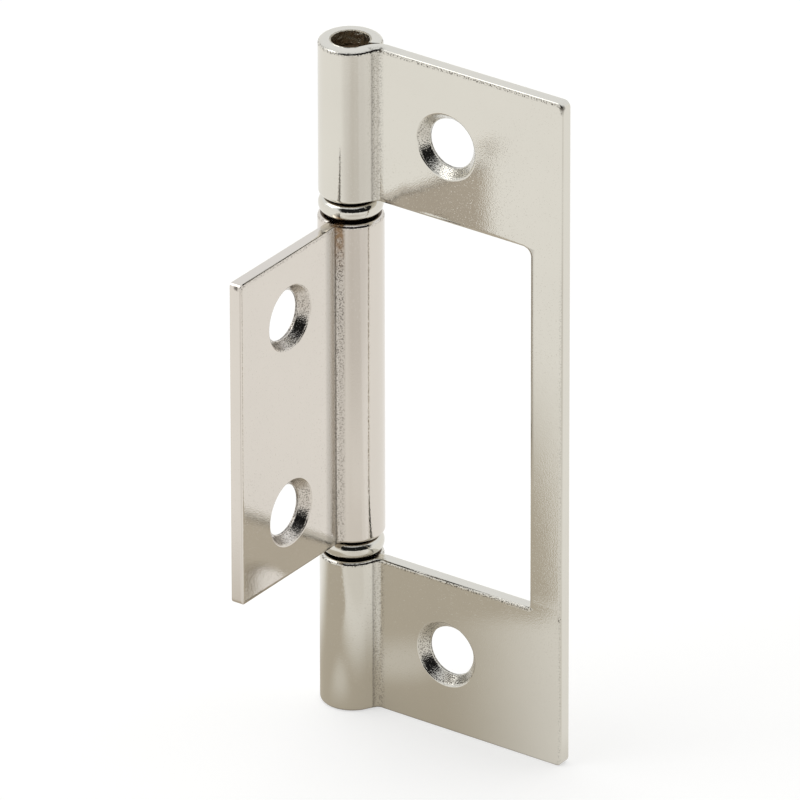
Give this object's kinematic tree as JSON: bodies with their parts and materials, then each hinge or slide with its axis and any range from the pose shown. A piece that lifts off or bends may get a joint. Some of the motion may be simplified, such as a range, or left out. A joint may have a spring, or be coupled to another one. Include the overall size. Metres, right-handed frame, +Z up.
{
  "type": "folding door hinge",
  "caption": "Nesting sheet-metal hinge: the smaller leaf folds into a window in the larger one, on a pin with bearing rings.",
  "frame": {"origin": "middle between the outer leaf's two screw holes, on its mounting face", "axes": "+Z up along the pin, +X from the barrel towards the outer leaf's free edge, +Y out of the outer leaf's mounting face"},
  "size_m": [0.0302, 0.0241, 0.0762],
  "materials": {
    "nickel_plate": "bright nickel plate on pressed steel",
    "pin_steel": "dull drawn steel"
  },
  "bodies": {
    "frame_side": {"outer_leaf": "nickel_plate", "hinge_pin": "pin_steel", "upper_ring": "nickel_plate", "lower_ring": "nickel_plate"},
    "door_side": {"inner_leaf": "nickel_plate"}
  },
  "joints": [
    {"name": "leaf_swing", "type": "hinge", "parent": "frame_side", "child": "door_side", "pos_m": [-0.01215, -0.0011, 0], "axis": [0, 0, -1], "range_deg": [-90, 90]}
  ]
}
